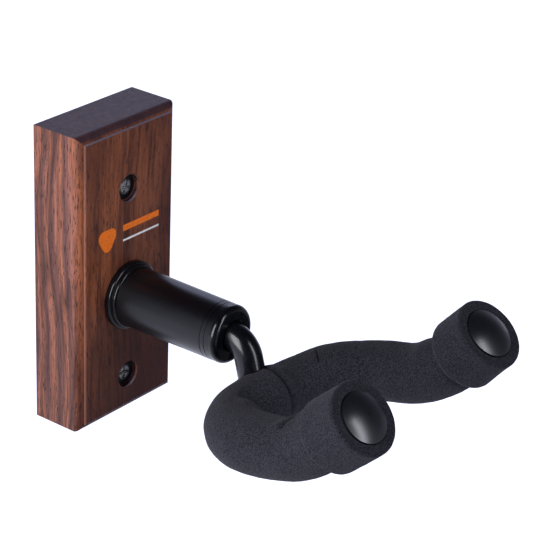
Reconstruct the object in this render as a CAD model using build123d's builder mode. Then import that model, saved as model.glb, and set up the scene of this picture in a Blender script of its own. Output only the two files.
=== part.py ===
"""Wall guitar hanger: a wooden wall block, a flanged tube and a padded yoke that swivels in it.

Millimetres, +Z up. The wall is the plane Y = 0 and the hanger reaches out along -Y. The origin
is the centre of the block's back face. Everything turned is centred on a line along Y.
"""
import os
from math import cos, radians, sin, tan

from build123d import *

os.makedirs("parts", exist_ok=True)

# Wooden block
BLOCK_W = 51.0
BLOCK_H = 115.0
BLOCK_T = 22.0  # wall face to the raised front panel
EDGE_R = 2.75  # quarter round along the four front edges
PANEL_STEP = 0.9  # the front panel stands this far above the quarter round
PANEL_BREAK = 0.3

# Wall screws, sunk in counterbored holes
SCREW_Z = {"upper": 32.0, "lower": -42.5}
SCREW_TURN = {"upper": 24.0, "lower": 8.0}  # how far each cross recess is turned, degrees
BORE_R = 5.2
BORE_DEPTH = 2.0
SINK_R = 5.0
SCREW_HOLE_R = 2.6
SCREW_HEAD_R = 4.6
SCREW_RIM = SINK_R - SCREW_HEAD_R  # straight rim above the 45 degree cone
SCREW_NECK_R = 2.3
SCREW_STUD_R = 2.1  # plain shank just behind the block
SCREW_STUD_L = 5.0
THREAD_ROOT_R = 1.7
THREAD_CREST_R = 2.35
THREAD_PITCH = 2.2
THREAD_TURNS = 4
SCREW_POINT_L = 4.2
CROSS_L = 5.2
CROSS_W = 1.25
CROSS_DEPTH = 2.0
CROSS_TAPER = 9.0

# Swivel tube and the two rings of its flange
AXIS_Z = -9.6
TUBE_SEAT = 3.0  # the tube stands this deep in the block
TUBE_REAR_R = 11.2
TUBE_FRONT_R = 10.75
TUBE_BORE_R = 8.0
TUBE_FRONT = 68.6
TUBE_FIT = 0.1
GROOVES = (64.4, 66.3)
GROOVE_W = 0.3
GROOVE_DEPTH = 0.12
FLANGE_R = 12.9
FLANGE_T = 2.4
FLANGE_ROUND = 0.8
COLLAR_R = 12.05
COLLAR_T = 1.6
COLLAR_ROUND = 0.7

# Front bush: the black end of the tube, and its spigot inside
BUSH_R = 10.8
BUSH_FRONT = 71.3
BUSH_ROUND = 2.1
BUSH_MOUTH = 0.8
SPIGOT_END = 52.0
RUN_FIT = 0.06  # radial running clearance of the stem in its bushes

# Stem: round bar, bent down in front of the bush
STEM_R = 5.1
STEM_REAR = 35.0
STEM_BEND_START = 70.1
STEM_BEND_R = 8.6
STEM_BEND = 75.0
STEM_DROP_END = 31.5  # depth below the origin where the bar is cut off
RING_ROOT_R = 4.3
RING_T = 1.2
RING_R = 7.0
RING_OPENING = 70.0
WASHER_T = 1.0
WASHER_R = 7.9
SIDE_PLAY = 0.1
REAR_BUSH_FRONT = 49.5
REAR_BUSH_REAR = 36.5

# Plug in the tube's rear end, and the bolt that holds the tube to the block
PLUG_FRONT = 31.0
BOLT_R = 3.0
BOLT_HOLE_R = 3.4
BOLT_TIP = 28.0
BOLT_HEAD_AF = 10.0
BOLT_HEAD_H = 4.0
BOLT_HEAD_BREAK = 0.4
BOLT_POINT = 0.7
BACK_BORE_R = 7.6
BACK_BORE_DEPTH = 6.5
BACK_WASHER_R = 7.0
BACK_WASHER_T = 1.2

# Fork: one round bar bent into a U, its arms rising and its tips turned up
FORK_Y = -86.4
FORK_Z = -29.2
FORK_R = 4.0
ARM_X = 35.6
ARM_BEND_R = 29.6
ARM_RISE = 14.0
ARM_SPLAY = 0.9  # each arm leans outward by this many degrees
TIP_BEND_R = 39.0
ARM_ROD = 77.4  # length of bar in each arm beyond the U's corner, measured along the bar
ARMS = {  # side, run to the tip's bend, and slope of the tip in degrees; bent by hand, they differ
    "left": (-1, 45.2, 43.0),
    "right": (1, 47.6, 49.2),
}
ROD_CUT = 1.2  # the bar stops this far short of the tip's end face
WELD_STEM_R = 6.5
WELD_FORK_R = 5.5

# Foam and caps
FOAM_R = 10.6
FOAM_BORE_R = 4.05
FOAM_JOIN_X = 1.3  # plane where the left foam meets the right one
FOAM_GAP = 0.1
STEM_SLOT_R = 5.3
TIP_FOAM_R = 13.1
TIP_FOAM_L = 17.5
TIP_FOAM_ROUND = 2.4
CAP_R = 8.9
CAP_RIM = 0.5
CAP_DOME = 2.7
CAP_SEAT = 1.4
SOCKET_R = 5.6
SOCKET_L = 11.0
SOCKET_SPARE = 1.0  # foam bore left empty past the socket
SEAT_FIT = 0.15

SWIVEL = Axis((0, 0, AXIS_Z), (0, 1, 0))


def turned(outline, z=AXIS_Z):
    """A face from (radius, distance from the wall) corners, ready to revolve about Y at height z."""
    with BuildSketch(Plane.XY.offset(z)) as face:
        with BuildLine():
            Polyline(*[(radius, -reach) for radius, reach in outline], close=True)
        make_face()
    return face.sketch


def front_plane(reach, z=0.0):
    """The plane that faces the room at this distance from the wall, centred at height z."""
    return Plane(origin=(0, -reach, z), x_dir=(1, 0, 0), z_dir=(0, -1, 0))


def finish_part(name, builder):
    """Label a finished piece and write its STEP file."""
    builder.part.label = name
    export_step(builder.part, f"parts/{name}.step")


def slope(rise, splay=0.0):
    """Unit vector that runs out from the wall, rises by one angle and leans towards +X by the other."""
    level = cos(radians(rise))
    return Vector(level * sin(radians(splay)), -level * cos(radians(splay)), sin(radians(rise)))


def arm_points(side, run, tip_rise):
    """Corner, tip bend, tip end and tip direction of one arm's centre line, using ARM_ROD of bar."""
    turn = radians(tip_rise - ARM_RISE)
    saved = TIP_BEND_R * (2 * tan(turn / 2) - turn)
    tip_dir = slope(tip_rise, side * ARM_SPLAY)
    corner = Vector(side * ARM_X, FORK_Y, FORK_Z)
    bend = corner + slope(ARM_RISE, side * ARM_SPLAY) * run
    end = bend + tip_dir * (ARM_ROD - run + saved)
    return corner, bend, end, tip_dir


# Wooden block: quarter-round front edges, raised panel, two screw holes, tube seat, back bore
BORE_FLOOR = BLOCK_T - BORE_DEPTH
with BuildPart() as wood_base:
    with BuildSketch(Plane.XZ):
        Rectangle(BLOCK_W, BLOCK_H)
    extrude(amount=BLOCK_T - PANEL_STEP)
    fillet(faces().sort_by(Axis.Y)[0].edges(), EDGE_R)
    with BuildSketch(front_plane(BLOCK_T - PANEL_STEP)):
        Rectangle(BLOCK_W - 2 * EDGE_R, BLOCK_H - 2 * EDGE_R)
    extrude(amount=PANEL_STEP)
    chamfer(faces().sort_by(Axis.Y)[0].edges(), PANEL_BREAK)
    for height in SCREW_Z.values():
        with Locations(front_plane(BORE_FLOOR, height)):
            CounterSinkHole(SCREW_HOLE_R, SINK_R, counter_sink_angle=90)
        with Locations(front_plane(BLOCK_T, height)):
            Hole(BORE_R, depth=BORE_DEPTH)
    with Locations(front_plane(BLOCK_T, AXIS_Z)):
        CounterBoreHole(BOLT_HOLE_R, TUBE_REAR_R + TUBE_FIT, TUBE_SEAT)
    with BuildSketch(front_plane(0, AXIS_Z)):
        Circle(BACK_BORE_R)
    extrude(amount=BACK_BORE_DEPTH, mode=Mode.SUBTRACT)
finish_part("wood_base", wood_base)

# Wall screws: cross-recessed countersunk head, plain shank, coarse thread and a point
thread_start = -SCREW_STUD_L
screw_outline = [
    (0, BORE_FLOOR),
    (SCREW_HEAD_R, BORE_FLOOR),
    (SCREW_HEAD_R, BORE_FLOOR - SCREW_RIM),
    (SCREW_NECK_R, BORE_FLOOR - SCREW_RIM - (SCREW_HEAD_R - SCREW_NECK_R)),
    (SCREW_NECK_R, 0),
    (SCREW_STUD_R, 0),
    (SCREW_STUD_R, thread_start),
    (THREAD_ROOT_R, thread_start),
]
for turn_number in range(THREAD_TURNS):
    crest = thread_start - (turn_number + 0.5) * THREAD_PITCH
    screw_outline.append((THREAD_ROOT_R, crest + THREAD_PITCH / 4))
    screw_outline.append((THREAD_CREST_R, crest))
    screw_outline.append((THREAD_ROOT_R, crest - THREAD_PITCH / 4))
thread_end = thread_start - THREAD_TURNS * THREAD_PITCH
screw_outline.append((THREAD_ROOT_R, thread_end))
screw_outline.append((0, thread_end - SCREW_POINT_L))

for place, height in SCREW_Z.items():
    screw_face = turned(screw_outline, height)
    head_plane = Plane(
        origin=(0, -BORE_FLOOR, height), x_dir=(1, 0, 0), z_dir=(0, 1, 0)
    )
    with BuildPart() as wall_screw:
        revolve(screw_face, axis=Axis((0, 0, height), (0, 1, 0)))
        with BuildSketch(head_plane):
            Rectangle(CROSS_L, CROSS_W, rotation=SCREW_TURN[place])
            Rectangle(CROSS_W, CROSS_L, rotation=SCREW_TURN[place])
        extrude(amount=CROSS_DEPTH, taper=CROSS_TAPER, mode=Mode.SUBTRACT)
    finish_part(f"wall_screw_{place}", wall_screw)

# Swivel tube: tapered outside, straight bore, two fine turned grooves near the front
tube_rear = BLOCK_T - TUBE_SEAT
with BuildPart() as swivel_tube:
    revolve(
        turned(
            [
                (TUBE_BORE_R, tube_rear),
                (TUBE_REAR_R, tube_rear),
                (TUBE_REAR_R, BLOCK_T),
                (TUBE_FRONT_R, TUBE_FRONT),
                (TUBE_BORE_R, TUBE_FRONT),
            ]
        ),
        axis=SWIVEL,
    )
    for reach in GROOVES:
        groove_r = TUBE_FRONT_R - GROOVE_DEPTH
        groove = [
            (groove_r, reach),
            (TUBE_REAR_R, reach),
            (TUBE_REAR_R, reach + GROOVE_W),
            (groove_r, reach + GROOVE_W),
        ]
        revolve(turned(groove), axis=SWIVEL, mode=Mode.SUBTRACT)
finish_part("swivel_tube", swivel_tube)

# Flange: two stepped rings with rounded rims, round the foot of the tube
flange_front = BLOCK_T + FLANGE_T
collar_front = flange_front + COLLAR_T
flange_bore_r = TUBE_REAR_R + TUBE_FIT
with BuildPart() as tube_flange:
    revolve(
        turned(
            [
                (flange_bore_r, BLOCK_T),
                (FLANGE_R, BLOCK_T),
                (FLANGE_R, flange_front),
                (COLLAR_R, flange_front),
                (COLLAR_R, collar_front),
                (flange_bore_r, collar_front),
            ]
        ),
        axis=SWIVEL,
    )
    front_rim = edges().filter_by(GeomType.CIRCLE).group_by(Axis.Y)[0].sort_by(SortBy.RADIUS)[-1:]
    step_rim = edges().filter_by(GeomType.CIRCLE).group_by(Axis.Y)[1].sort_by(SortBy.RADIUS)[-1:]
    fillet(front_rim, COLLAR_ROUND)
    fillet(step_rim, FLANGE_ROUND)
finish_part("tube_flange", tube_flange)

# Front bush: rounded black head, and a spigot pressed into the tube
stem_bore_r = STEM_R + RUN_FIT
with BuildPart() as front_bush:
    revolve(
        turned(
            [
                (stem_bore_r, SPIGOT_END),
                (TUBE_BORE_R, SPIGOT_END),
                (TUBE_BORE_R, TUBE_FRONT),
                (BUSH_R, TUBE_FRONT),
                (BUSH_R, BUSH_FRONT),
                (stem_bore_r, BUSH_FRONT),
            ]
        ),
        axis=SWIVEL,
    )
    front_rims = edges().filter_by(GeomType.CIRCLE).group_by(Axis.Y)[0].sort_by(SortBy.RADIUS)
    fillet(front_rims[-1:], BUSH_ROUND)
    chamfer(front_rims[:1], BUSH_MOUTH)
finish_part("front_bush", front_bush)

# Rear bush: plain sleeve that carries the stem's inner end
with BuildPart() as rear_bush:
    revolve(
        turned(
            [
                (stem_bore_r, REAR_BUSH_REAR),
                (TUBE_BORE_R, REAR_BUSH_REAR),
                (TUBE_BORE_R, REAR_BUSH_FRONT),
                (stem_bore_r, REAR_BUSH_FRONT),
            ]
        ),
        axis=SWIVEL,
    )
finish_part("rear_bush", rear_bush)

# Thrust washer between the front bush and the retaining ring
washer_rear = SPIGOT_END - WASHER_T
with BuildPart() as thrust_washer:
    revolve(
        turned(
            [
                (stem_bore_r, washer_rear),
                (WASHER_R, washer_rear),
                (WASHER_R, SPIGOT_END),
                (stem_bore_r, SPIGOT_END),
            ]
        ),
        axis=SWIVEL,
    )
finish_part("thrust_washer", thrust_washer)

# Retaining ring: open spring ring in the stem's groove
ring_front = washer_rear - SIDE_PLAY
ring_rear = ring_front - RING_T
ring_outline = [
    (RING_ROOT_R, ring_rear),
    (RING_R, ring_rear),
    (RING_R, ring_front),
    (RING_ROOT_R, ring_front),
]
with BuildPart() as retaining_ring:
    revolve(turned(ring_outline), axis=SWIVEL, revolution_arc=360 - RING_OPENING)
finish_part("retaining_ring", retaining_ring)

# Threaded plug fixed in the tube's rear end
with BuildPart() as rear_plug:
    with BuildSketch(front_plane(tube_rear, AXIS_Z)):
        Circle(TUBE_BORE_R)
        Circle(BOLT_R, mode=Mode.SUBTRACT)
    extrude(amount=PLUG_FRONT - tube_rear)
finish_part("rear_plug", rear_plug)

# Washer and hexagon bolt in the counterbore of the block's back
washer_back = BACK_BORE_DEPTH - BACK_WASHER_T
with BuildPart() as bolt_washer:
    with BuildSketch(front_plane(washer_back, AXIS_Z)):
        Circle(BACK_WASHER_R)
        Circle(BOLT_HOLE_R, mode=Mode.SUBTRACT)
    extrude(amount=BACK_WASHER_T)
finish_part("bolt_washer", bolt_washer)

head_back = washer_back - BOLT_HEAD_H
with BuildPart() as tube_bolt:
    with BuildSketch(front_plane(head_back, AXIS_Z)):
        RegularPolygon(BOLT_HEAD_AF / 2, 6, major_radius=False)
    extrude(amount=BOLT_HEAD_H)
    chamfer(edges().filter_by(Axis.Y), BOLT_HEAD_BREAK)
    with BuildSketch(front_plane(washer_back, AXIS_Z)):
        Circle(BOLT_R)
    extrude(amount=BOLT_TIP - washer_back)
    chamfer(edges().filter_by(GeomType.CIRCLE).sort_by(Axis.Y)[:1], BOLT_POINT)
finish_part("tube_bolt", tube_bolt)

# Fork: the U-shaped bar from tip to tip
arm_ends = {name: arm_points(*shape) for name, shape in ARMS.items()}
left_corner, left_bend, left_end, left_dir = arm_ends["left"]
right_corner, right_bend, right_end, right_dir = arm_ends["right"]
left_cut = left_end - left_dir * ROD_CUT
right_cut = right_end - right_dir * ROD_CUT
with BuildPart() as fork_rod:
    with BuildLine() as fork_line:
        FilletPolyline(
            left_cut,
            left_bend,
            left_corner,
            right_corner,
            right_bend,
            right_cut,
            radius=[TIP_BEND_R, ARM_BEND_R, ARM_BEND_R, TIP_BEND_R],
        )
    with BuildSketch(Plane(origin=fork_line.line @ 0, z_dir=fork_line.line % 0)):
        Circle(FORK_R)
    sweep()
finish_part("fork_rod", fork_rod)

# Stem: straight in the bushes, bent down, its end shaped to sit on the fork
fork_middle = Plane(origin=(-ARM_X, FORK_Y, FORK_Z), x_dir=(0, 1, 0), z_dir=(1, 0, 0))
stem_knee = Vector(0, -STEM_BEND_START - STEM_BEND_R * tan(radians(STEM_BEND / 2)), AXIS_Z)
stem_down = slope(-STEM_BEND)
stem_foot = stem_knee + stem_down * ((stem_knee.Z + STEM_DROP_END) / -stem_down.Z)
with BuildPart() as stem:
    with BuildLine() as stem_line:
        FilletPolyline((0, -STEM_REAR, AXIS_Z), stem_knee, stem_foot, radius=STEM_BEND_R)
    with BuildSketch(front_plane(STEM_REAR, AXIS_Z)):
        Circle(STEM_R)
    sweep()
    revolve(turned(ring_outline), axis=SWIVEL, mode=Mode.SUBTRACT)
    with BuildSketch(fork_middle):
        Circle(FORK_R)
    extrude(amount=2 * ARM_X, mode=Mode.SUBTRACT)
finish_part("stem", stem)

# Weld bead: what lies close to both bars and inside neither
stem_straight = Plane(origin=stem_foot, z_dir=stem_down * -1)
with BuildPart() as weld_bead:
    with BuildSketch(stem_straight):
        Circle(WELD_STEM_R)
    extrude(amount=FOAM_R)
    with BuildSketch(fork_middle):
        Circle(WELD_FORK_R)
    extrude(amount=2 * ARM_X, mode=Mode.INTERSECT)
    with BuildSketch(fork_middle):
        Circle(FORK_R)
    extrude(amount=2 * ARM_X, mode=Mode.SUBTRACT)
    with BuildSketch(stem_straight):
        Circle(STEM_R)
    extrude(amount=2 * FOAM_R, mode=Mode.SUBTRACT)
finish_part("weld_bead", weld_bead)

# Arm foams: sleeves that meet in front of the stem and run up to the tip foams
for name, (corner, bend, end, tip_dir) in arm_ends.items():
    seam = end - tip_dir * (TIP_FOAM_L + FOAM_GAP)
    join_x = FOAM_JOIN_X if name == "left" else FOAM_JOIN_X + FOAM_GAP
    with BuildPart() as arm_foam:
        with BuildLine() as arm_line:
            FilletPolyline(
                (join_x, FORK_Y, FORK_Z), corner, bend, seam, radius=[ARM_BEND_R, TIP_BEND_R]
            )
        with BuildSketch(Plane(origin=arm_line.line @ 0, z_dir=arm_line.line % 0)):
            Circle(FOAM_R)
            Circle(FOAM_BORE_R, mode=Mode.SUBTRACT)
        sweep()
        with BuildSketch(stem_straight):
            Circle(WELD_STEM_R + FOAM_GAP)
        extrude(amount=FOAM_R, mode=Mode.SUBTRACT)
        with BuildSketch(stem_straight):
            Circle(STEM_SLOT_R)
        extrude(amount=2 * FOAM_R, mode=Mode.SUBTRACT)
    finish_part(f"{name}_arm_foam", arm_foam)

# Tip foams: short fat sleeves, with a seat for the cap and room for its socket
for name, (corner, bend, end, tip_dir) in arm_ends.items():
    rear = Plane(origin=end - tip_dir * TIP_FOAM_L, z_dir=tip_dir)
    face = Plane(origin=end, z_dir=tip_dir * -1)
    with BuildPart() as tip_foam:
        with BuildSketch(rear):
            Circle(TIP_FOAM_R)
            Circle(FOAM_BORE_R, mode=Mode.SUBTRACT)
        extrude(amount=TIP_FOAM_L)
        rear_rim = edges().filter_by(GeomType.CIRCLE).sort_by(Axis(end, tip_dir))[:2]
        fillet(rear_rim.sort_by(SortBy.RADIUS)[-1:], TIP_FOAM_ROUND)
        with BuildSketch(face):
            Circle(CAP_R + SEAT_FIT)
        extrude(amount=CAP_SEAT, mode=Mode.SUBTRACT)
        with BuildSketch(face):
            Circle(SOCKET_R + SEAT_FIT)
        extrude(amount=CAP_SEAT + SOCKET_L, mode=Mode.SUBTRACT)
    finish_part(f"{name}_tip_foam", tip_foam)

# End caps: domed discs with a socket pushed onto the bar's end
socket_end = -CAP_SEAT - SOCKET_L + SOCKET_SPARE
for name, (corner, bend, end, tip_dir) in arm_ends.items():
    across = tip_dir.cross(Vector(0, 0, 1)).normalized()
    lengthwise = Plane(origin=end, x_dir=across, z_dir=across.cross(tip_dir))
    with BuildPart() as end_cap:
        with BuildSketch(lengthwise):
            with BuildLine():
                TangentArc((0, CAP_DOME), (CAP_R, CAP_RIM), tangent=(1, 0))
                Polyline(
                    (CAP_R, CAP_RIM),
                    (CAP_R, -CAP_SEAT),
                    (SOCKET_R, -CAP_SEAT),
                    (SOCKET_R, socket_end),
                    (FORK_R, socket_end),
                    (FORK_R, -ROD_CUT),
                    (0, -ROD_CUT),
                    (0, CAP_DOME),
                )
            make_face()
        revolve(axis=Axis(end, tip_dir))
    finish_part(f"{name}_end_cap", end_cap)
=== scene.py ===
"""Looks of a wall guitar hanger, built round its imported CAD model.

Metres, +Z up. The wall is the plane Y = 0 and the hanger reaches out along -Y. Sizes are
written in millimetres and scaled by MM where they become geometry.
"""
from math import cos, exp, pi, radians, sin, sqrt, tan

import bmesh
import bpy
from mathutils import Matrix, Vector, noise


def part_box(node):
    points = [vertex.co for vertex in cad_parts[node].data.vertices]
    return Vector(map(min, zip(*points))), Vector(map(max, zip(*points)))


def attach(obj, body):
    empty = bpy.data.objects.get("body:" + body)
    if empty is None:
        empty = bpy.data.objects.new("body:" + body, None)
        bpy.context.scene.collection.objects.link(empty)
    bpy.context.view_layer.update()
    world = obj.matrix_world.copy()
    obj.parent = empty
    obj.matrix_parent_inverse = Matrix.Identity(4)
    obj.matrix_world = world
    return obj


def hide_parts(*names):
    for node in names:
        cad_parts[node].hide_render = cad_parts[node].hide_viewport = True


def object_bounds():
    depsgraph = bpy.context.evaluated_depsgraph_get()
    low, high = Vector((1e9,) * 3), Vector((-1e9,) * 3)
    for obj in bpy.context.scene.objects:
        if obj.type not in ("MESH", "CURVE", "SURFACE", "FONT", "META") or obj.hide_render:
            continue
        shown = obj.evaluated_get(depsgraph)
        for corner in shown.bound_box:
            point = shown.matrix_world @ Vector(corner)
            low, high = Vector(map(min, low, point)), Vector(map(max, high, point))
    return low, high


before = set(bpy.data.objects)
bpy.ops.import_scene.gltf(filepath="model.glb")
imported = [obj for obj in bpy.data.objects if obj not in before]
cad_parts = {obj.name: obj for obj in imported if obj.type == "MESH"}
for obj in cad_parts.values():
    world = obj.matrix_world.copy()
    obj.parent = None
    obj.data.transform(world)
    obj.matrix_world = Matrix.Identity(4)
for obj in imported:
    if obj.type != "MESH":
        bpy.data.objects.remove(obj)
cad_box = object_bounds()
MM = 0.001

# ------------------------------------------------------------------ camera, lights and floor
VIEW_AZIMUTH = -52.25
VIEW_ELEVATION = 25.3
VIEW_ROLL = 2.17
VIEW_DISTANCE = 0.8035
VIEW_AIM = (-0.0668, 0.00527)
LENS = 148.3
SENSOR = 36

FLOOR_Z = -0.45
FLOOR_SIZE = 60.0
FLOOR_FADE = (-0.12, 0.16)  # band of Y over which the floor's glow rises towards the wall
FLOOR_GLOW = (0.20, 1.15)
FLOOR_PAINT = (0.52, 0.53, 0.57)
FLOOR_TINT = (0.94, 0.97, 1.16)
# brightness from straight down (0) through the horizon (0.5) to overhead (1)
SKY_LEVELS = [(0.0, 0.8), (0.50, 0.7), (0.62, 0.45), (0.72, 0.22), (0.82, 0.05), (1.0, 0.03)]
SKY_TINT = (0.90, 0.94, 1.22)
SKY_FADE = (-0.3, 0.6)
SKY_SIDES = (0.16, 0.95)  # strength towards the room and towards the wall
# azimuth, elevation, distance (m), width, height (m), power (W), tint
SOFTBOXES = {
    "key_left": (-92, 22, 0.5, 0.24, 0.40, 2.65, (1.0, 1.0, 1.03)),
    "front_strip": (6, 20, 1.1, 0.22, 1.10, 5.5, (0.97, 0.98, 1.08)),
    "back_low": (128, 24, 1.2, 0.60, 0.36, 0.9, (0.86, 0.88, 1.30)),
}


def direction(azimuth, elevation):
    """Unit vector towards a point seen at this azimuth (0 is the room side) and elevation."""
    a, e = radians(azimuth), radians(elevation)
    return Vector((sin(a) * cos(e), -cos(a) * cos(e), sin(e)))


def add_camera():
    """The camera at its viewing angle, rolled a little about its own axis."""
    back = direction(VIEW_AZIMUTH, VIEW_ELEVATION)
    level = Vector((0, 0, 1)).cross(back).normalized()
    upright = back.cross(level)
    roll = radians(VIEW_ROLL)
    right = level * cos(roll) + upright * sin(roll)
    up = upright * cos(roll) - level * sin(roll)
    data = bpy.data.cameras.new("camera")
    data.lens = LENS
    data.sensor_width = SENSOR
    data.clip_start = 0.01
    camera = bpy.data.objects.new("camera", data)
    camera.rotation_mode = "QUATERNION"
    camera.rotation_quaternion = Matrix((right, up, back)).transposed().to_quaternion()
    camera.location = back * VIEW_DISTANCE - right * VIEW_AIM[0] - up * VIEW_AIM[1]
    bpy.context.scene.collection.objects.link(camera)
    bpy.context.scene.camera = camera


def add_softbox(name, azimuth, elevation, distance, width, height, power, tint):
    """A rectangular area light aimed at the middle of the object."""
    data = bpy.data.lights.new(name, "AREA")
    data.shape = "RECTANGLE"
    data.size = width
    data.size_y = height
    data.energy = power
    data.color = tint
    lamp = bpy.data.objects.new(name, data)
    aim = (cad_box[0] + cad_box[1]) / 2
    back = direction(azimuth, elevation)
    lamp.location = aim + back * distance
    lamp.rotation_mode = "QUATERNION"
    lamp.rotation_quaternion = (-back).to_track_quat("-Z", "Y")
    bpy.context.scene.collection.objects.link(lamp)


def fade_along_y(tree, place, band, levels, shape="LINEAR"):
    """A number that goes from one level to the other across a band of Y."""
    split = tree.nodes.new("ShaderNodeSeparateXYZ")
    across = tree.nodes.new("ShaderNodeMapRange")
    across.interpolation_type = shape
    for socket, number in zip(list(across.inputs)[1:5], (*band, *levels)):
        socket.default_value = number
    tree.links.new(place, split.inputs[0])
    tree.links.new(split.outputs["Y"], across.inputs["Value"])
    return across.outputs["Result"]


def add_sky():
    """Pale at the horizon, dark overhead and weaker on the room side, as in a studio."""
    world = bpy.data.worlds.new("studio")
    world.use_nodes = True
    bpy.context.scene.world = world
    tree = world.node_tree
    ray = tree.nodes.new("ShaderNodeTexCoord")
    split = tree.nodes.new("ShaderNodeSeparateXYZ")
    lift = tree.nodes.new("ShaderNodeMapRange")
    lift.inputs["From Min"].default_value = -1
    ramp = tree.nodes.new("ShaderNodeValToRGB")
    fill_ramp(ramp, [(height, [level * share for share in SKY_TINT]) for height, level in SKY_LEVELS])
    strength = fade_along_y(tree, ray.outputs["Generated"], SKY_FADE, SKY_SIDES)
    background = tree.nodes["Background"]
    tree.links.new(ray.outputs["Generated"], split.inputs[0])
    tree.links.new(split.outputs["Z"], lift.inputs["Value"])
    tree.links.new(lift.outputs["Result"], ramp.inputs["Fac"])
    tree.links.new(ramp.outputs["Color"], background.inputs["Color"])
    tree.links.new(strength, background.inputs["Strength"])


def add_floor():
    """A plain pale floor, far enough below that the object throws no shadow on it."""
    bpy.ops.mesh.primitive_plane_add(size=FLOOR_SIZE, location=(0, 0, FLOOR_Z))
    floor = bpy.context.object
    floor.name = "floor"
    paint = bpy.data.materials.new("pale_floor")
    paint.use_nodes = True
    tree = paint.node_tree
    shader = tree.nodes["Principled BSDF"]
    shader.inputs["Base Color"].default_value = (*FLOOR_PAINT, 1)
    shader.inputs["Roughness"].default_value = 1.0
    shader.inputs["Specular IOR Level"].default_value = 0.0
    shader.inputs["Emission Color"].default_value = (*FLOOR_TINT, 1)
    place = tree.nodes.new("ShaderNodeTexCoord").outputs["Object"]
    glow = fade_along_y(tree, place, FLOOR_FADE, FLOOR_GLOW, "SMOOTHSTEP")
    tree.links.new(glow, shader.inputs["Emission Strength"])
    floor.data.materials.append(paint)


# ------------------------------------------------------------------ material helpers
def fill_ramp(ramp, stops):
    """Sets a colour ramp's stops from (place, (r, g, b)) pairs."""
    elements = ramp.color_ramp.elements
    while len(elements) > 1:
        elements.remove(elements[-1])
    elements[0].position = stops[0][0]
    elements[0].color = (*stops[0][1], 1)
    for place, colour in stops[1:]:
        elements.new(place).color = (*colour, 1)


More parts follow.
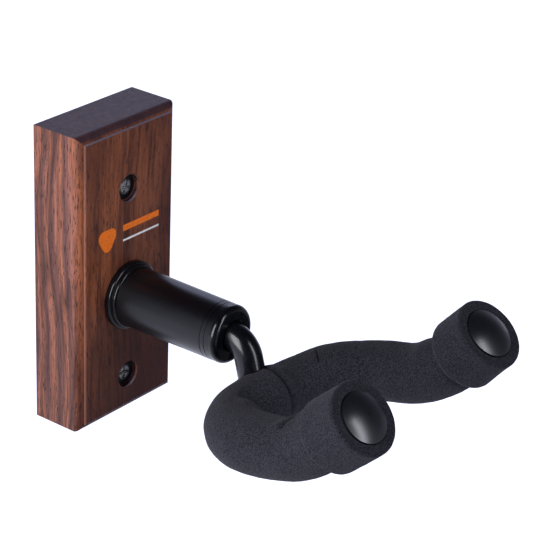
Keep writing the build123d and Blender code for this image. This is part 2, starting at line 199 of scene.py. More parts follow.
class Paint:
    """A material being built: its node tree, its shader and its own coordinates in millimetres."""

    def __init__(self, name, roughness, metallic=0.0, **constants):
        self.material = bpy.data.materials.new(name)
        self.material.use_nodes = True
        self.tree = self.material.node_tree
        self.shader = self.tree.nodes["Principled BSDF"]
        self.shader.inputs["Roughness"].default_value = roughness
        self.shader.inputs["Metallic"].default_value = metallic
        for socket, value in constants.items():
            self.shader.inputs[socket.replace("_", " ")].default_value = value
        place = self.add("ShaderNodeTexCoord")
        self.place = place.outputs["Object"]
        self.facing = place.outputs["Normal"]

    def add(self, kind, **settings):
        """A new node with these settings."""
        node = self.tree.nodes.new(kind)
        for name, value in settings.items():
            setattr(node, name, value)
        return node

    def put(self, socket, value):
        """Links an output, or sets a plain value."""
        if isinstance(value, bpy.types.NodeSocket):
            self.tree.links.new(value, socket)
        else:
            socket.default_value = value

    def stretched(self, x=1, y=1, z=1):
        """Coordinates in millimetres, times these factors."""
        node = self.add("ShaderNodeMapping")
        self.put(node.inputs["Vector"], self.place)
        node.inputs["Scale"].default_value = (x / MM, y / MM, z / MM)
        return node.outputs["Vector"]

    def drifted(self, drift):
        """Coordinates in millimetres, moved along X and Y by this much."""
        x, y, z = self.axes(self.stretched())
        node = self.add("ShaderNodeCombineXYZ")
        self.put(node.inputs[0], self.math("ADD", x, drift))
        self.put(node.inputs[1], self.math("ADD", y, drift))
        self.put(node.inputs[2], z)
        return node.outputs[0]

    def times(self, vector, x, y, z):
        """A vector times these factors."""
        node = self.add("ShaderNodeVectorMath", operation="MULTIPLY")
        self.put(node.inputs[0], vector)
        node.inputs[1].default_value = (x, y, z)
        return node.outputs[0]

    def noise(self, vector, scale=1.0, detail=2.0, rough=0.5, distortion=0.0):
        """Cloudy noise between 0 and 1, mostly near 0.5."""
        node = self.add("ShaderNodeTexNoise")
        self.put(node.inputs["Vector"], vector)
        node.inputs["Scale"].default_value = scale
        node.inputs["Detail"].default_value = detail
        node.inputs["Roughness"].default_value = rough
        node.inputs["Distortion"].default_value = distortion
        return node.outputs["Fac"]

    def cells(self, vector, scale):
        """Distance to the nearest of many scattered points."""
        node = self.add("ShaderNodeTexVoronoi")
        self.put(node.inputs["Vector"], vector)
        node.inputs["Scale"].default_value = scale
        return node.outputs["Distance"]

    def math(self, operation, a, b=0.0, c=0.0):
        """A Math node of up to three numbers."""
        node = self.add("ShaderNodeMath", operation=operation)
        for socket, value in zip(node.inputs, (a, b, c)):
            self.put(socket, value)
        return node.outputs[0]

    def band(self, value, low, high, to_low=0.0, to_high=1.0):
        """Maps low..high to to_low..to_high, held at its ends."""
        node = self.add("ShaderNodeMapRange")
        for socket, number in zip(node.inputs, (value, low, high, to_low, to_high)):
            self.put(socket, number)
        return node.outputs["Result"]

    def product(self, first, *others):
        """All these numbers multiplied."""
        for other in others:
            first = self.math("MULTIPLY", first, other)
        return first

    def absolute(self, value):
        """A number without its sign."""
        return self.math("ABSOLUTE", value)

    def length(self, a, b):
        """Length of the vector (a, b)."""
        square = self.math("MULTIPLY_ADD", a, a, self.math("MULTIPLY", b, b))
        return self.math("SQRT", square)

    def ramp(self, value, stops):
        """The colour that a number picks from these stops."""
        node = self.add("ShaderNodeValToRGB")
        self.put(node.inputs["Fac"], value)
        fill_ramp(node, stops)
        return node.outputs["Color"]

    def mix(self, share, a, b):
        """Colour a, with this share of colour b over it."""
        node = self.add("ShaderNodeMix", data_type="RGBA")
        self.put(node.inputs["Factor"], share)
        self.put(node.inputs[6], a if isinstance(a, bpy.types.NodeSocket) else (*a, 1))
        self.put(node.inputs[7], b if isinstance(b, bpy.types.NodeSocket) else (*b, 1))
        return node.outputs[2]

    def axes(self, vector):
        """The X, Y and Z of a vector."""
        node = self.add("ShaderNodeSeparateXYZ")
        self.put(node.inputs[0], vector)
        return node.outputs

    def finish(self, colour, roughness, relief, depth, strength):
        """The finished material. Its bump is depth millimetres high; a roughness of None stays plain."""
        self.put(self.shader.inputs["Base Color"], colour)
        if roughness is not None:
            self.put(self.shader.inputs["Roughness"], roughness)
        bump = self.add("ShaderNodeBump")
        bump.inputs["Strength"].default_value = strength
        bump.inputs["Distance"].default_value = depth * MM
        self.put(bump.inputs["Height"], relief)
        self.put(self.shader.inputs["Normal"], bump.outputs["Normal"])
        return self.material


# ------------------------------------------------------------------ walnut
BLOCK_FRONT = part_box("wood_base")[0].y / MM
PANEL_FOOT = BLOCK_FRONT + 0.9  # the raised front panel stands on the block here
GRAIN_SWAY = 6.0
FLANK_RINGS = [
    (0.0, (0.115, 0.052, 0.048)),
    (0.16, (0.190, 0.075, 0.054)),
    (0.33, (0.390, 0.138, 0.068)),
    (0.45, (0.290, 0.100, 0.060)),
    (0.63, (0.350, 0.138, 0.092)),
    (0.82, (0.220, 0.085, 0.062)),
    (1.0, (0.115, 0.052, 0.048)),
]
FRONT_RINGS = [
    (0.0, (0.170, 0.050, 0.024)),
    (0.3, (0.265, 0.082, 0.034)),
    (0.6, (0.320, 0.102, 0.044)),
    (0.8, (0.215, 0.065, 0.028)),
    (1.0, (0.170, 0.050, 0.024)),
]
DARK_FIBRE = (0.058, 0.021, 0.016)
LIGHT_FIBRE = (0.390, 0.150, 0.085)
VEIN = (0.040, 0.015, 0.012)
CLOUD = (0.080, 0.030, 0.027)
# darker towards the lower right of the front
FRONT_LOWER_RIGHT_DARK = (0.048, 0.011, 0.009)
EDGE_SHADE = (0.065, 0.020, 0.017)
PORE = (0.022, 0.009, 0.010)
# dark end grain, tinted purple as a painted reflection of the pale sky
END_GRAIN_AND_SHEEN = (0.036, 0.022, 0.031)
# painted highlights on the front panel's step, standing in for the light it catches
PAINTED_LEDGE_HIGHLIGHT = (0.190, 0.160, 0.215)
PAINTED_SIDE_LEDGE_HIGHLIGHT = (0.260, 0.130, 0.100)
INK_ORANGE = (1.0, 0.21, 0.015)
INK_WHITE = (0.95, 0.94, 0.94)
INK_BLUR = 0.1
MARK_X, MARK_Z, MARK_R = -11.4, 15.6, 4.3  # the plectrum's middle and size
MARK_LOBES = 0.13  # how far its three corners stand out, as a share of its size
MARK_BAR = (6.4, 17.4, 9.6, 1.2)  # middle x and z, half width and half height
MARK_LINE = (6.4, 12.6, 9.6, 0.4)


def box_mask(p, x, z, bar):
    """1 inside a rectangle given by its middle and its half sizes."""
    middle_x, middle_z, half_w, half_h = bar
    off_x = p.absolute(p.math("SUBTRACT", x, middle_x))
    off_z = p.absolute(p.math("SUBTRACT", z, middle_z))
    wide = p.band(off_x, half_w - INK_BLUR, half_w + INK_BLUR, 1.0, 0.0)
    high = p.band(off_z, half_h - INK_BLUR, half_h + INK_BLUR, 1.0, 0.0)
    return p.product(wide, high)


def plectrum_mask(p, x, z):
    """1 inside a plain guitar pick, point down."""
    across = p.math("SUBTRACT", x, MARK_X)
    rise = p.math("SUBTRACT", z, MARK_Z)
    turn = p.math("ARCTAN2", across, rise)
    lobes = p.math("COSINE", p.math("MULTIPLY", turn, 3.0))
    reach = p.math("DIVIDE", p.length(across, rise), p.math("MULTIPLY_ADD", lobes, -MARK_LOBES, 1.0))
    return p.band(reach, MARK_R - INK_BLUR, MARK_R + INK_BLUR, 1.0, 0.0)


def ring_tones(p, grain, sideways):
    """Growth rings: narrow and strong on the sides, broad and faint on the front."""
    shifted = p.axes(grain)
    wander = p.noise(p.times(grain, 0.09, 0.14, 0.014))
    rings = p.math("MULTIPLY_ADD", shifted["X"], 0.03, p.math("MULTIPLY", shifted["Y"], 0.17))
    phase = p.math("FRACT", p.math("MULTIPLY_ADD", wander, 1.1, rings))
    return p.mix(sideways, p.ramp(phase, FRONT_RINGS), p.ramp(phase, FLANK_RINGS))


def fibres(p, wood, grain, streak, sideways):
    """Dark and light streaks along the grain, and a few long veins."""
    darkest = p.band(sideways, 0.0, 1.0, 0.5, 0.66)
    wood = p.mix(p.product(p.band(streak, 0.36, 0.56, 1.0, 0.0), darkest), wood, DARK_FIBRE)
    wood = p.mix(p.band(streak, 0.56, 0.74, 0.0, 0.22), wood, LIGHT_FIBRE)
    vein = p.noise(p.times(grain, 0.17, 0.17, 0.009))
    veins = p.product(p.band(vein, 0.50, 0.56), p.band(vein, 0.57, 0.64, 1.0, 0.0))
    return p.mix(p.product(veins, 0.6), wood, VEIN)


def broad_shades(p, wood, x, y, z):
    """Soft clouds, and on the front a darkening towards the lower right and a darker right edge."""
    cloud = p.noise(p.stretched(0.035, 0.035, 0.02))
    wood = p.mix(p.band(cloud, 0.50, 0.80, 0.0, 0.5), wood, CLOUD)
    # darker towards the lower right of the front
    lower_right = p.math("MULTIPLY_ADD", x, 0.9, p.math("MULTIPLY", z, -1.0))
    near_front = p.band(y, BLOCK_FRONT + 4.0, BLOCK_FRONT + 1.5)
    wood = p.mix(p.product(p.band(lower_right, -12.0, 56.0, 0.0, 0.95), near_front), wood, FRONT_LOWER_RIGHT_DARK)
    on_panel = p.band(y, BLOCK_FRONT + 1.0, BLOCK_FRONT)
    return p.mix(p.product(p.band(x, 6.0, 24.0, 0.0, 0.6), on_panel), wood, EDGE_SHADE)


def painted_step_highlight(p, wood, y, face):
    """Painted highlight on the small step round the raised front panel: pale lilac on its level parts,
    paler brown on its upright sides.
    """
    step = p.band(y, PANEL_FOOT + 0.1, PANEL_FOOT - 0.1)
    level = p.band(p.absolute(face["Z"]), 0.5, 0.8)
    upright = p.band(p.absolute(face["X"]), 0.5, 0.8)
    # painted highlight on the step's level faces, then more faintly on its upright faces
    wood = p.mix(p.product(step, level), wood, PAINTED_LEDGE_HIGHLIGHT)
    return p.mix(p.product(step, upright, 0.5), wood, PAINTED_SIDE_LEDGE_HIGHLIGHT)


def printed_mark(p, wood, x, y, z):
    """A plectrum, a bar and a line printed on the front, slightly worn."""
    front = p.band(y, BLOCK_FRONT + 0.1, BLOCK_FRONT + 0.02)
    worn = p.band(p.noise(p.stretched(), 2.2, 2.0, 0.6), 0.34, 0.46, 0.55, 1.0)
    shape = p.math("MAXIMUM", box_mask(p, x, z, MARK_BAR), plectrum_mask(p, x, z))
    wood = p.mix(p.product(shape, front, worn), wood, INK_ORANGE)
    return p.mix(p.product(box_mask(p, x, z, MARK_LINE), front, worn), wood, INK_WHITE)


def walnut():
    """Oiled walnut with growth rings, streaks, veins, open pores and dark end grain, the end grain
    tinted purple as a painted sky reflection.
    """
    p = Paint("walnut", 0.4, Specular_IOR_Level=0.16)
    x, y, z = p.axes(p.stretched())
    face = p.axes(p.facing)
    sway = p.noise(p.stretched(0.022, 0.022, 0.013))
    grain = p.drifted(p.math("MULTIPLY_ADD", sway, 2 * GRAIN_SWAY, -GRAIN_SWAY))
    sideways = p.band(p.absolute(face["X"]), 0.3, 0.85)
    end_grain_and_sheen = p.band(p.absolute(face["Z"]), 0.10, 0.45)
    streak = p.noise(p.times(grain, 0.62, 0.60, 0.020), 1.0, 5.0, 0.66, 0.35)
    pores = p.band(p.noise(p.times(grain, 2.6, 2.6, 0.24), 1.0, 3.0, 0.6, 0.3), 0.56, 0.63)
    wood = ring_tones(p, grain, sideways)
    wood = fibres(p, wood, grain, streak, sideways)
    wood = broad_shades(p, wood, x, y, z)
    wood = p.mix(p.product(pores, 0.85), wood, PORE)
    # dark end grain on top and below, with a painted purple sky reflection
    wood = p.mix(p.product(end_grain_and_sheen, 0.88), wood, END_GRAIN_AND_SHEEN)
    # painted highlight on the step round the front panel
    wood = painted_step_highlight(p, wood, y, face)
    wood = printed_mark(p, wood, x, y, z)
    height = p.math("MULTIPLY_ADD", pores, -1.0, p.product(streak, 0.5))
    height = p.product(height, p.band(end_grain_and_sheen, 0.0, 1.0, 1.0, 0.08))
    return p.finish(wood, p.band(streak, 0.3, 0.7, 0.48, 0.36), height, 0.06, 0.6)


# ------------------------------------------------------------------ foam, metal and plastic
def foam():
    """Charcoal closed-cell foam: a fine open speckle, hardly any larger patches."""
    p = Paint("foam", 0.9, Sheen_Weight=0.04, Sheen_Roughness=0.6, Specular_IOR_Level=0.15)
    grain = p.noise(p.stretched(), 1.7, 2.0, 0.75)
    cells = p.cells(p.stretched(), 2.2)
    patch = p.noise(p.stretched(), 0.16, 2.0, 0.5)
    speckle = p.math("MULTIPLY_ADD", cells, 0.5, p.math("MULTIPLY", grain, 0.75))
    colour = p.ramp(
        speckle,
        [
            (0.34, (0.0012, 0.0011, 0.0024)),
            (0.52, (0.0098, 0.0093, 0.0150)),
            (0.70, (0.0330, 0.0320, 0.0430)),
        ],
    )
    colour = p.mix(p.band(patch, 0.35, 0.7, 0.0, 0.15), colour, (0.0065, 0.0062, 0.0100))
    return p.finish(colour, None, speckle, 0.25, 0.9)


def satin_black():
    """Satin powder coat on the tube: faint orange peel and a few rubbed patches."""
    p = Paint("satin_black", 0.33, Specular_IOR_Level=0.38)
    peel = p.noise(p.stretched(), 1.6, 3.0, 0.6)
    rub = p.noise(p.stretched(0.05, 0.02, 0.05), 1.0, 3.0, 0.6)
    colour = p.mix(p.band(rub, 0.4, 0.7), (0.0016, 0.0018, 0.0030), (0.0030, 0.0033, 0.0050))
    return p.finish(colour, p.band(rub, 0.3, 0.7, 0.29, 0.34), peel, 0.008, 0.5)


def bar_black():
    """Semi-gloss black coat on the bent bar, with small dust nibs."""
    p = Paint("bar_black", 0.22, Specular_IOR_Level=0.45)
    peel = p.noise(p.stretched(), 0.9, 3.0, 0.6)
    nib = p.cells(p.stretched(), 0.22)
    nibs = p.band(nib, 0.0, 0.06, 1.0, 0.0)
    colour = p.mix(p.band(peel, 0.35, 0.7), (0.0025, 0.0027, 0.0042), (0.0045, 0.0048, 0.0070))
    height = p.math("MULTIPLY_ADD", nibs, 0.8, p.math("MULTIPLY", peel, 0.12))
    return p.finish(colour, p.band(peel, 0.3, 0.7, 0.19, 0.23), height, 0.03, 0.5)


def gloss_black():
    """Glossy black moulding of the flange rings and the front bush."""
    p = Paint("gloss_black", 0.16, Specular_IOR_Level=0.42)
    swirl = p.noise(p.stretched(), 0.35, 3.0, 0.6)
    colour = p.mix(p.band(swirl, 0.35, 0.7), (0.0022, 0.0024, 0.0036), (0.0045, 0.0048, 0.0066))
    return p.finish(colour, p.band(swirl, 0.3, 0.7, 0.15, 0.22), swirl, 0.015, 0.3)


def cap_black():
    """Semi-gloss moulded caps, a little uneven from the mould."""
    p = Paint("cap_black", 0.3, Specular_IOR_Level=0.95)
    swirl = p.noise(p.stretched(), 0.22, 2.0, 0.5)
    fine = p.noise(p.stretched(), 3.0, 2.0, 0.6)
    colour = p.mix(p.band(swirl, 0.35, 0.7), (0.0045, 0.0055, 0.0085), (0.0075, 0.0090, 0.0130))
    return p.finish(colour, p.band(fine, 0.3, 0.7, 0.28, 0.33), swirl, 0.02, 0.4)


CROSS_DEPTH = 2.0


def screw_black():
    """Black oxide screws, scraped inside the cross recess; the scrapes are painted near white as a
    painted glint.
    """
    p = Paint("screw_black", 0.35, 0.9)
    x, y, z = p.axes(p.stretched())
    scrape = p.noise(p.stretched(), 2.4, 3.0, 0.7)
    boxes = [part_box("wall_screw_upper"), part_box("wall_screw_lower")]
    off_upper, off_lower = (
        p.absolute(p.math("SUBTRACT", z, (low.z + high.z) / 2 / MM)) for low, high in boxes
    )
    head_face = boxes[0][0].y / MM
    cross_floor = head_face + CROSS_DEPTH
    recess = p.product(
        p.band(y, head_face - 0.1, head_face + 0.1), p.band(y, cross_floor + 0.2, cross_floor + 0.1)
    )
    from_axis = p.length(x, p.math("MINIMUM", off_upper, off_lower))
    # scraped metal in the cross recess, painted near white as a painted glint: part wear, part painted
    # highlight
    scrape_and_glint = p.product(recess, p.band(from_axis, 2.0, 3.0, 1.0, 0.0), p.band(scrape, 0.45, 0.52))
    p.put(p.shader.inputs["Metallic"], p.band(scrape_and_glint, 0.0, 1.0, 0.9, 0.25))
    colour = p.mix(scrape_and_glint, (0.012, 0.012, 0.014), (1.0, 1.0, 1.0))
    return p.finish(colour, p.band(scrape, 0.3, 0.7, 0.46, 0.26), scrape, 0.08, 0.8)


def plain_steel():
    """Zinc-plated steel of the hidden fasteners, with fine turning marks."""
    p = Paint("plain_steel", 0.35, 1.0)
    marks = p.noise(p.stretched(0.6, 9.0, 0.6), 1.0, 2.0, 0.6)
    colour = p.ramp(marks, [(0.3, (0.36, 0.36, 0.37)), (0.7, (0.60, 0.60, 0.59))])
    return p.finish(colour, p.band(marks, 0.3, 0.7, 0.30, 0.45), marks, 0.02, 0.5)


def natural_nylon():
    """Off-white nylon of the inner bush, slightly cloudy."""
    p = Paint("natural_nylon", 0.5, Subsurface_Weight=0.1)
    cloud = p.noise(p.stretched(), 0.5, 3.0, 0.6)
    colour = p.ramp(cloud, [(0.3, (0.66, 0.65, 0.58)), (0.7, (0.80, 0.79, 0.74))])
    return p.finish(colour, None, cloud, 0.02, 0.4)


def coat(material, *nodes):
    """Gives carried-over CAD nodes this material."""
    for name in nodes:
        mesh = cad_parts[name].data
        mesh.materials.clear()
        mesh.materials.append(material)


# ------------------------------------------------------------------ foam shapes
# The bar inside the fork, which the sleeves follow
FORK_Y = -86.4
FORK_Z = -29.2
ARM_X = 35.6
ARM_BEND_R = 29.6
ARM_RISE = 14.0
ARM_SPLAY = 0.9  # each arm leans outward by this many degrees
TIP_BEND_R = 39.0
ARM_ROD = 77.4  # length of bar in each arm beyond the corner
# side, run to the tip's bend, slope of the tip in degrees
ARMS = {"left": (-1, 45.2, 43.0), "right": (1, 47.6, 49.2)}
# The sleeves
JOIN_X = 1.3  # plane where the left sleeve meets the right one
JOIN_GAP = 0.1
BAR_BORE_R = 4.05
FOAM_R = 10.6
RIM_ROUND = 0.9
LUMP = 0.16
TIP_FOAM_R = 13.1
TIP_FOAM_L = 17.5
TIP_REAR_ROUND = {"left": 1.4, "right": 3.4}
TIP_LEAN = {"left": 0.0, "right": 0.4}  # the sleeve sits this far off centre, towards +X
CAP_LIP = 0.35  # rounding at the mouth of the cap's seat
CAP_HOLE_R = 9.05
CAP_SEAT = 1.4
END_DISH = 0.12  # the cut end face is hollow by this much
SOCKET_HOLE_R = 5.75
SOCKET_HOLE_L = 11.0
# The bent stem, which is cut out of both arm sleeves
AXIS_Z = -9.6
STEM_BEND_START = 70.1
STEM_BEND_R = 8.6
STEM_BEND = 75.0
STEM_FOOT_Z = -31.5
STEM_SLOT = (5.2, 2.4 * FOAM_R)  # radius and length
WELD_SLOT = (6.6, 0.8 * FOAM_R)
# Mesh density
RING_STEP = 0.42
SEGMENTS = 144


def slope(rise, splay=0.0):
    """Unit vector that runs out from the wall, rises by one angle and leans towards +X by the other."""
    level = cos(radians(rise))
    return Vector((level * sin(radians(splay)), -level * cos(radians(splay)), sin(radians(rise))))


def arm_points(name):
    """Start, corner, tip bend and end of an arm's centre line, and its tip's direction."""
    side, run, tip_rise = ARMS[name]
    turn = radians(tip_rise - ARM_RISE)
    saved = TIP_BEND_R * (2 * tan(turn / 2) - turn)
    tip_dir = slope(tip_rise, side * ARM_SPLAY)
    start = Vector((JOIN_X, FORK_Y, FORK_Z))
    corner = Vector((side * ARM_X, FORK_Y, FORK_Z))
    bend = corner + slope(ARM_RISE, side * ARM_SPLAY) * run
    end = bend + tip_dir * (ARM_ROD - run + saved)
    return start, corner, bend, end, tip_dir


def rounded_line(points, radii, step):
    """Evenly spaced (distance, point, tangent) along straight runs joined by tangent arcs."""
    samples = []
    travelled = 0.0
    here = points[0]
    pieces = []
    for before, at, after, radius in zip(points, points[1:], points[2:], radii):
        into, out = (at - before).normalized(), (after - at).normalized()
        turn = into.angle(out)
        reach = radius * tan(turn / 2)
        inward = (out - into * into.dot(out)).normalized()
        pieces.append((here, at - into * reach, into, None, 0.0, 0.0))
        pieces.append((at - into * reach, None, into, inward, radius, turn))
        here = at + out * reach
    pieces.append((here, points[-1], (points[-1] - here).normalized(), None, 0.0, 0.0))
    for first, last, into, inward, radius, turn in pieces:
        length = radius * turn if last is None else (last - first).length
        count = max(1, round(length / step))
        for number in range(count):
            t = number / count
            if last is None:
                a = turn * t
                point = first + into * radius * sin(a) + inward * radius * (1 - cos(a))
                tangent = into * cos(a) + inward * sin(a)
            else:
                point = first.lerp(last, t)
                tangent = into
            samples.append((travelled + length * t, point, tangent))
        travelled += length
    samples.append((travelled, points[-1], pieces[-1][2]))
    return samples


def bell(x, width):
    """1 at zero, falling off smoothly over this width."""
    return exp(-((x / width) ** 2))


def fade(x, low, high):
    """0 below low, 1 above high, smooth between."""
    t = min(1.0, max(0.0, (x - low) / (high - low)))
    return t * t * (3 - 2 * t)


def window(angle, low, high, soft):
    """1 where an angle in degrees lies between low and high, fading over soft degrees outside."""
    return fade(angle, low - soft, low) * (1 - fade(angle, high, high + soft))


def left_skin(s, angle, total):
    """How far the left arm's foam stands out from a plain sleeve."""
    # full and round where it meets the right sleeve
    r = 0.6 * bell(s, 5) * window(angle, -120, 120, 40)
    # the hollow pinched inside the bend, ending in a sharp fold and a swollen lip
    steep = 9.5 if s < 23 else 2.4
    r -= 5.0 * bell(s - 23, steep) * window(angle, -88, -22, 22)
    r += 0.9 * bell(s - 31.5, 4.5) * window(angle, -95, -20, 25)
    r += 1.2 * bell(s - 47, 13) * window(angle, -140, -45, 35)
    # stretched thin round the outside of the bend
    r -= 0.35 * fade(s, 18, 32) * (1 - fade(s, 62, 74)) * window(angle, 50, 150, 28)
    # the slit on top, with a raised edge on each side
    slit_at = 72.0 - 0.12 * angle
    slit = window(angle, -42, 22, 8)
    r -= 3.2 * bell(s - slit_at, 0.9) * slit
    r += 0.6 * bell(s - slit_at + 4.0, 3.2) * slit
    r += 0.4 * bell(s - slit_at - 3.5, 2.6) * slit
    # bunched up inside the tip's bend, pushed outward and flattened below at the tip foam
    r += 1.6 * bell(s - 80, 5) * window(angle, -90, -10, 25)
    r += 0.35 * fade(s, total - 9, total - 1) * window(angle, 15, 110, 30)
    return r - 0.4 * bell(s - total + 8, 9) * window(abs(angle), 120, 180, 30)


def right_skin(s, angle, total):
    """How far the right arm's foam stands out from a plain sleeve."""
    # drawn in where the left sleeve's rim covers it, and flat behind that
    r = -1.6 * bell(s, 1.6)
    r -= 1.15 * fade(s, 3, 9) * (1 - fade(s, 14, 27)) * window(angle, -40, 110, 40)
    # swollen inside the bend, past the bend and along the belly
    r += 0.9 * bell(s - 15, 9) * window(angle, -140, -60, 30)
    r += 0.35 * bell(s - 31, 6) * window(angle, -60, 90, 40)
    r += 0.4 * bell(s - 52, 12) * window(abs(angle), 130, 180, 30)
    # the short fine slit on top, with one raised edge
    slit_at = 23.6 + 0.03 * angle
    slit = window(angle, -28, 2, 5)
    r -= 0.9 * bell(s - slit_at, 0.42) * slit
    r += 0.25 * bell(s - slit_at + 2.2, 1.8) * slit
    # bunched up on top, then pressed down at the tip foam
    r += 0.55 * bell(s - total + 11, 5) * window(angle, -60, 60, 30)
    return r - 1.1 * bell(s - total, 3.5) * window(angle, -60, 60, 30)


def arm_skin(name, s, angle, total):
    """Radius of an arm foam at distance s along it. Angle is 0 on top, 90 outside, -90 inside."""
    shape = left_skin if name == "left" else right_skin
    return FOAM_R + shape(s, angle, total) - 0.35 * bell(s - total, 1.4)


def lump(point, seed):
    """Slow unevenness of the foam's surface, in millimetres."""
    wide = noise.noise(point * 0.11 + Vector((seed, 0, 0)))
    fine = noise.noise(point * 0.42 + Vector((0, seed, 0)))
    return LUMP * (1.2 * wide + 0.5 * fine)


def skin(bm, rings):
    """Quads between closed rings of vertices, the last ring joined to the first."""
    count = len(rings[0])
    for one, two in zip(rings, rings[1:] + rings[:1]):
        for i in range(count):
            j = (i + 1) % count
            bm.faces.new((one[i], one[j], two[j], two[i]))


def new_piece(name, bm, material, sharp=40):
    """A mesh object from a bmesh built in millimetres."""
    bmesh.ops.recalc_face_normals(bm, faces=bm.faces)
    bmesh.ops.scale(bm, vec=(MM, MM, MM), verts=bm.verts)
    mesh = bpy.data.meshes.new(name)
    bm.to_mesh(mesh)
    bm.free()
    mesh.polygons.foreach_set("use_smooth", [True] * len(mesh.polygons))
    mesh.set_sharp_from_angle(angle=radians(sharp))
    mesh.materials.append(material)
    piece = bpy.data.objects.new(name, mesh)
    bpy.context.scene.collection.objects.link(piece)
    return piece


def arm_foam(name, material):
    """A foam sleeve on one arm of the fork, from the stem to the tip foam."""
    side = ARMS[name][0]
    start, corner, bend, end, tip_dir = arm_points(name)
    if name == "right":
        start = start + Vector((JOIN_GAP, 0, 0))
    seam = end - tip_dir * (TIP_FOAM_L + JOIN_GAP)
    line = rounded_line([start, corner, bend, seam], [ARM_BEND_R, TIP_BEND_R], RING_STEP)
    total = line[-1][0]
    bm = bmesh.new()
    outer = []
    inner = []
    for s, point, tangent in line:
        up = (Vector((0, 0, 1)) - tangent * tangent.z).normalized()
        outward = tangent.cross(up) * -side
        end_gap = min(s, total - s)
        drop = RIM_ROUND - sqrt(max(0.0, RIM_ROUND**2 - max(0.0, RIM_ROUND - end_gap) ** 2))
        ring = []
        bore = []
        for i in range(SEGMENTS):
            angle = 360 * i / SEGMENTS
            angle = angle - 360 if angle > 180 else angle
            radial = up * cos(radians(angle)) + outward * sin(radians(angle))
            r = arm_skin(name, s, angle, total) - drop
            rim = point + radial * r
            ring.append(bm.verts.new(rim + radial * lump(rim, side)))
            bore.append(bm.verts.new(point + radial * BAR_BORE_R))
        outer.append(ring)
        inner.append(bore)
    skin(bm, outer + inner[::-1])
    piece = new_piece(f"{name}_arm_sleeve", bm, material)
    cut_stem_slot(piece)
    return piece


def cut_stem_slot(piece):
    """Cuts the stem and its weld out of a sleeve, as the fitter's knife does."""
    knee = Vector((0, -STEM_BEND_START - STEM_BEND_R * tan(radians(STEM_BEND / 2)), AXIS_Z))
    down = slope(-STEM_BEND)
    foot = knee + down * ((knee.z - STEM_FOOT_Z) / -down.z)
    for radius, reach in (WELD_SLOT, STEM_SLOT):
        bm = bmesh.new()
        bmesh.ops.create_cone(
            bm, cap_ends=True, segments=96, radius1=radius, radius2=radius, depth=reach
        )
        turn = down.to_track_quat("-Z", "Y").to_matrix().to_4x4()
        place = Matrix.Translation(foot - down * reach / 2) @ turn
        bmesh.ops.transform(bm, matrix=place, verts=bm.verts)
        knife = new_piece("knife", bm, piece.data.materials[0])
        cut = piece.modifiers.new("slot", "BOOLEAN")
        cut.object = knife
        cut.solver = "EXACT"
        apply_modifiers(piece)
        bpy.data.objects.remove(knife)


def apply_modifiers(piece):
    """Puts what the modifiers make into the piece's own mesh."""
    shaped = bpy.data.meshes.new_from_object(
        piece.evaluated_get(bpy.context.evaluated_depsgraph_get())
    )
    piece.modifiers.clear()
    old = piece.data
    piece.data = shaped
    bpy.data.meshes.remove(old)


def between(one, two, count):
    """The inner points of a straight line divided into count steps."""
    return [tuple(a + (b - a) * k / count for a, b in zip(one, two)) for k in range(1, count)]


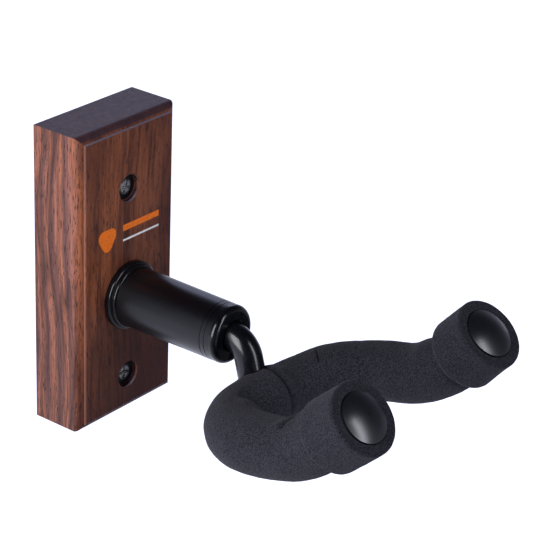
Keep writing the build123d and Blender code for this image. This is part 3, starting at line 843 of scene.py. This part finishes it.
def tip_profile(rear_round):
    """(radius, height above the rear face) round a tip foam's section, from the rear bore outward."""
    rim_start = TIP_FOAM_R - RIM_ROUND
    lip_start = CAP_HOLE_R + CAP_LIP
    seat_height = TIP_FOAM_L - CAP_SEAT
    outline = [(BAR_BORE_R, 0.0)]
    outline += between((BAR_BORE_R, 0.0), (TIP_FOAM_R - rear_round, 0.0), 6)
    for k in range(13):
        a = radians(90 * k / 12)
        outline.append((TIP_FOAM_R - rear_round * (1 - sin(a)), rear_round * (1 - cos(a))))
    outline += between((TIP_FOAM_R, rear_round), (TIP_FOAM_R, TIP_FOAM_L - RIM_ROUND), 24)
    for k in range(9):
        a = radians(90 * k / 8)
        outline.append((TIP_FOAM_R - RIM_ROUND * (1 - cos(a)), TIP_FOAM_L - RIM_ROUND * (1 - sin(a))))
    for k in range(1, 8):
        radius = rim_start + (lip_start - rim_start) * k / 8
        outline.append((radius, TIP_FOAM_L - END_DISH * sin(pi * k / 8)))
    for k in range(6):
        a = radians(90 * k / 5)
        outline.append((CAP_HOLE_R + CAP_LIP * (1 - sin(a)), TIP_FOAM_L - CAP_LIP * (1 - cos(a))))
    outline.append((CAP_HOLE_R, seat_height))
    outline.append((SOCKET_HOLE_R, seat_height))
    outline.append((SOCKET_HOLE_R, seat_height - SOCKET_HOLE_L))
    outline.append((BAR_BORE_R, seat_height - SOCKET_HOLE_L))
    return outline


def tip_foam(name, material):
    """The short fat sleeve at the end of an arm, with a seat for its cap."""
    side = ARMS[name][0]
    *_, end, tip_dir = arm_points(name)
    across = tip_dir.cross(Vector((0, 0, 1))).normalized()
    upward = across.cross(tip_dir)
    rear = end - tip_dir * TIP_FOAM_L
    bm = bmesh.new()
    rings = []
    for r, height in tip_profile(TIP_REAR_ROUND[name]):
        ring = []
        for i in range(SEGMENTS):
            a = 2 * pi * i / SEGMENTS
            radial = across * cos(a) + upward * sin(a)
            loose = fade(r, CAP_HOLE_R + 0.3, CAP_HOLE_R + 1.5)
            lean = TIP_LEAN[name] * radial.x * loose
            point = rear + tip_dir * height + radial * (r + lean)
            ring.append(bm.verts.new(point + radial * lump(point, 7 * side) * loose))
        rings.append(ring)
    skin(bm, rings)
    return new_piece(f"{name}_tip_sleeve", bm, material, 50)


# ------------------------------------------------------------------ making the object
add_sky()
add_camera()
for box_name, setting in SOFTBOXES.items():
    add_softbox(box_name, *setting)
add_floor()
bpy.context.scene.view_settings.view_transform = "Standard"

coat(walnut(), "wood_base")
coat(screw_black(), "wall_screw_upper", "wall_screw_lower")
coat(satin_black(), "swivel_tube")
coat(gloss_black(), "tube_flange", "front_bush")
coat(bar_black(), "stem", "fork_rod", "weld_bead")
coat(cap_black(), "left_end_cap", "right_end_cap")
coat(plain_steel(), "thrust_washer", "retaining_ring", "rear_plug", "bolt_washer", "tube_bolt")
coat(natural_nylon(), "rear_bush")

charcoal = foam()
for arm in ARMS:
    for make, part in ((arm_foam, "arm_foam"), (tip_foam, "tip_foam")):
        sleeve = make(arm, charcoal)
        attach(sleeve, "yoke")
        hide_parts(f"{arm}_{part}")
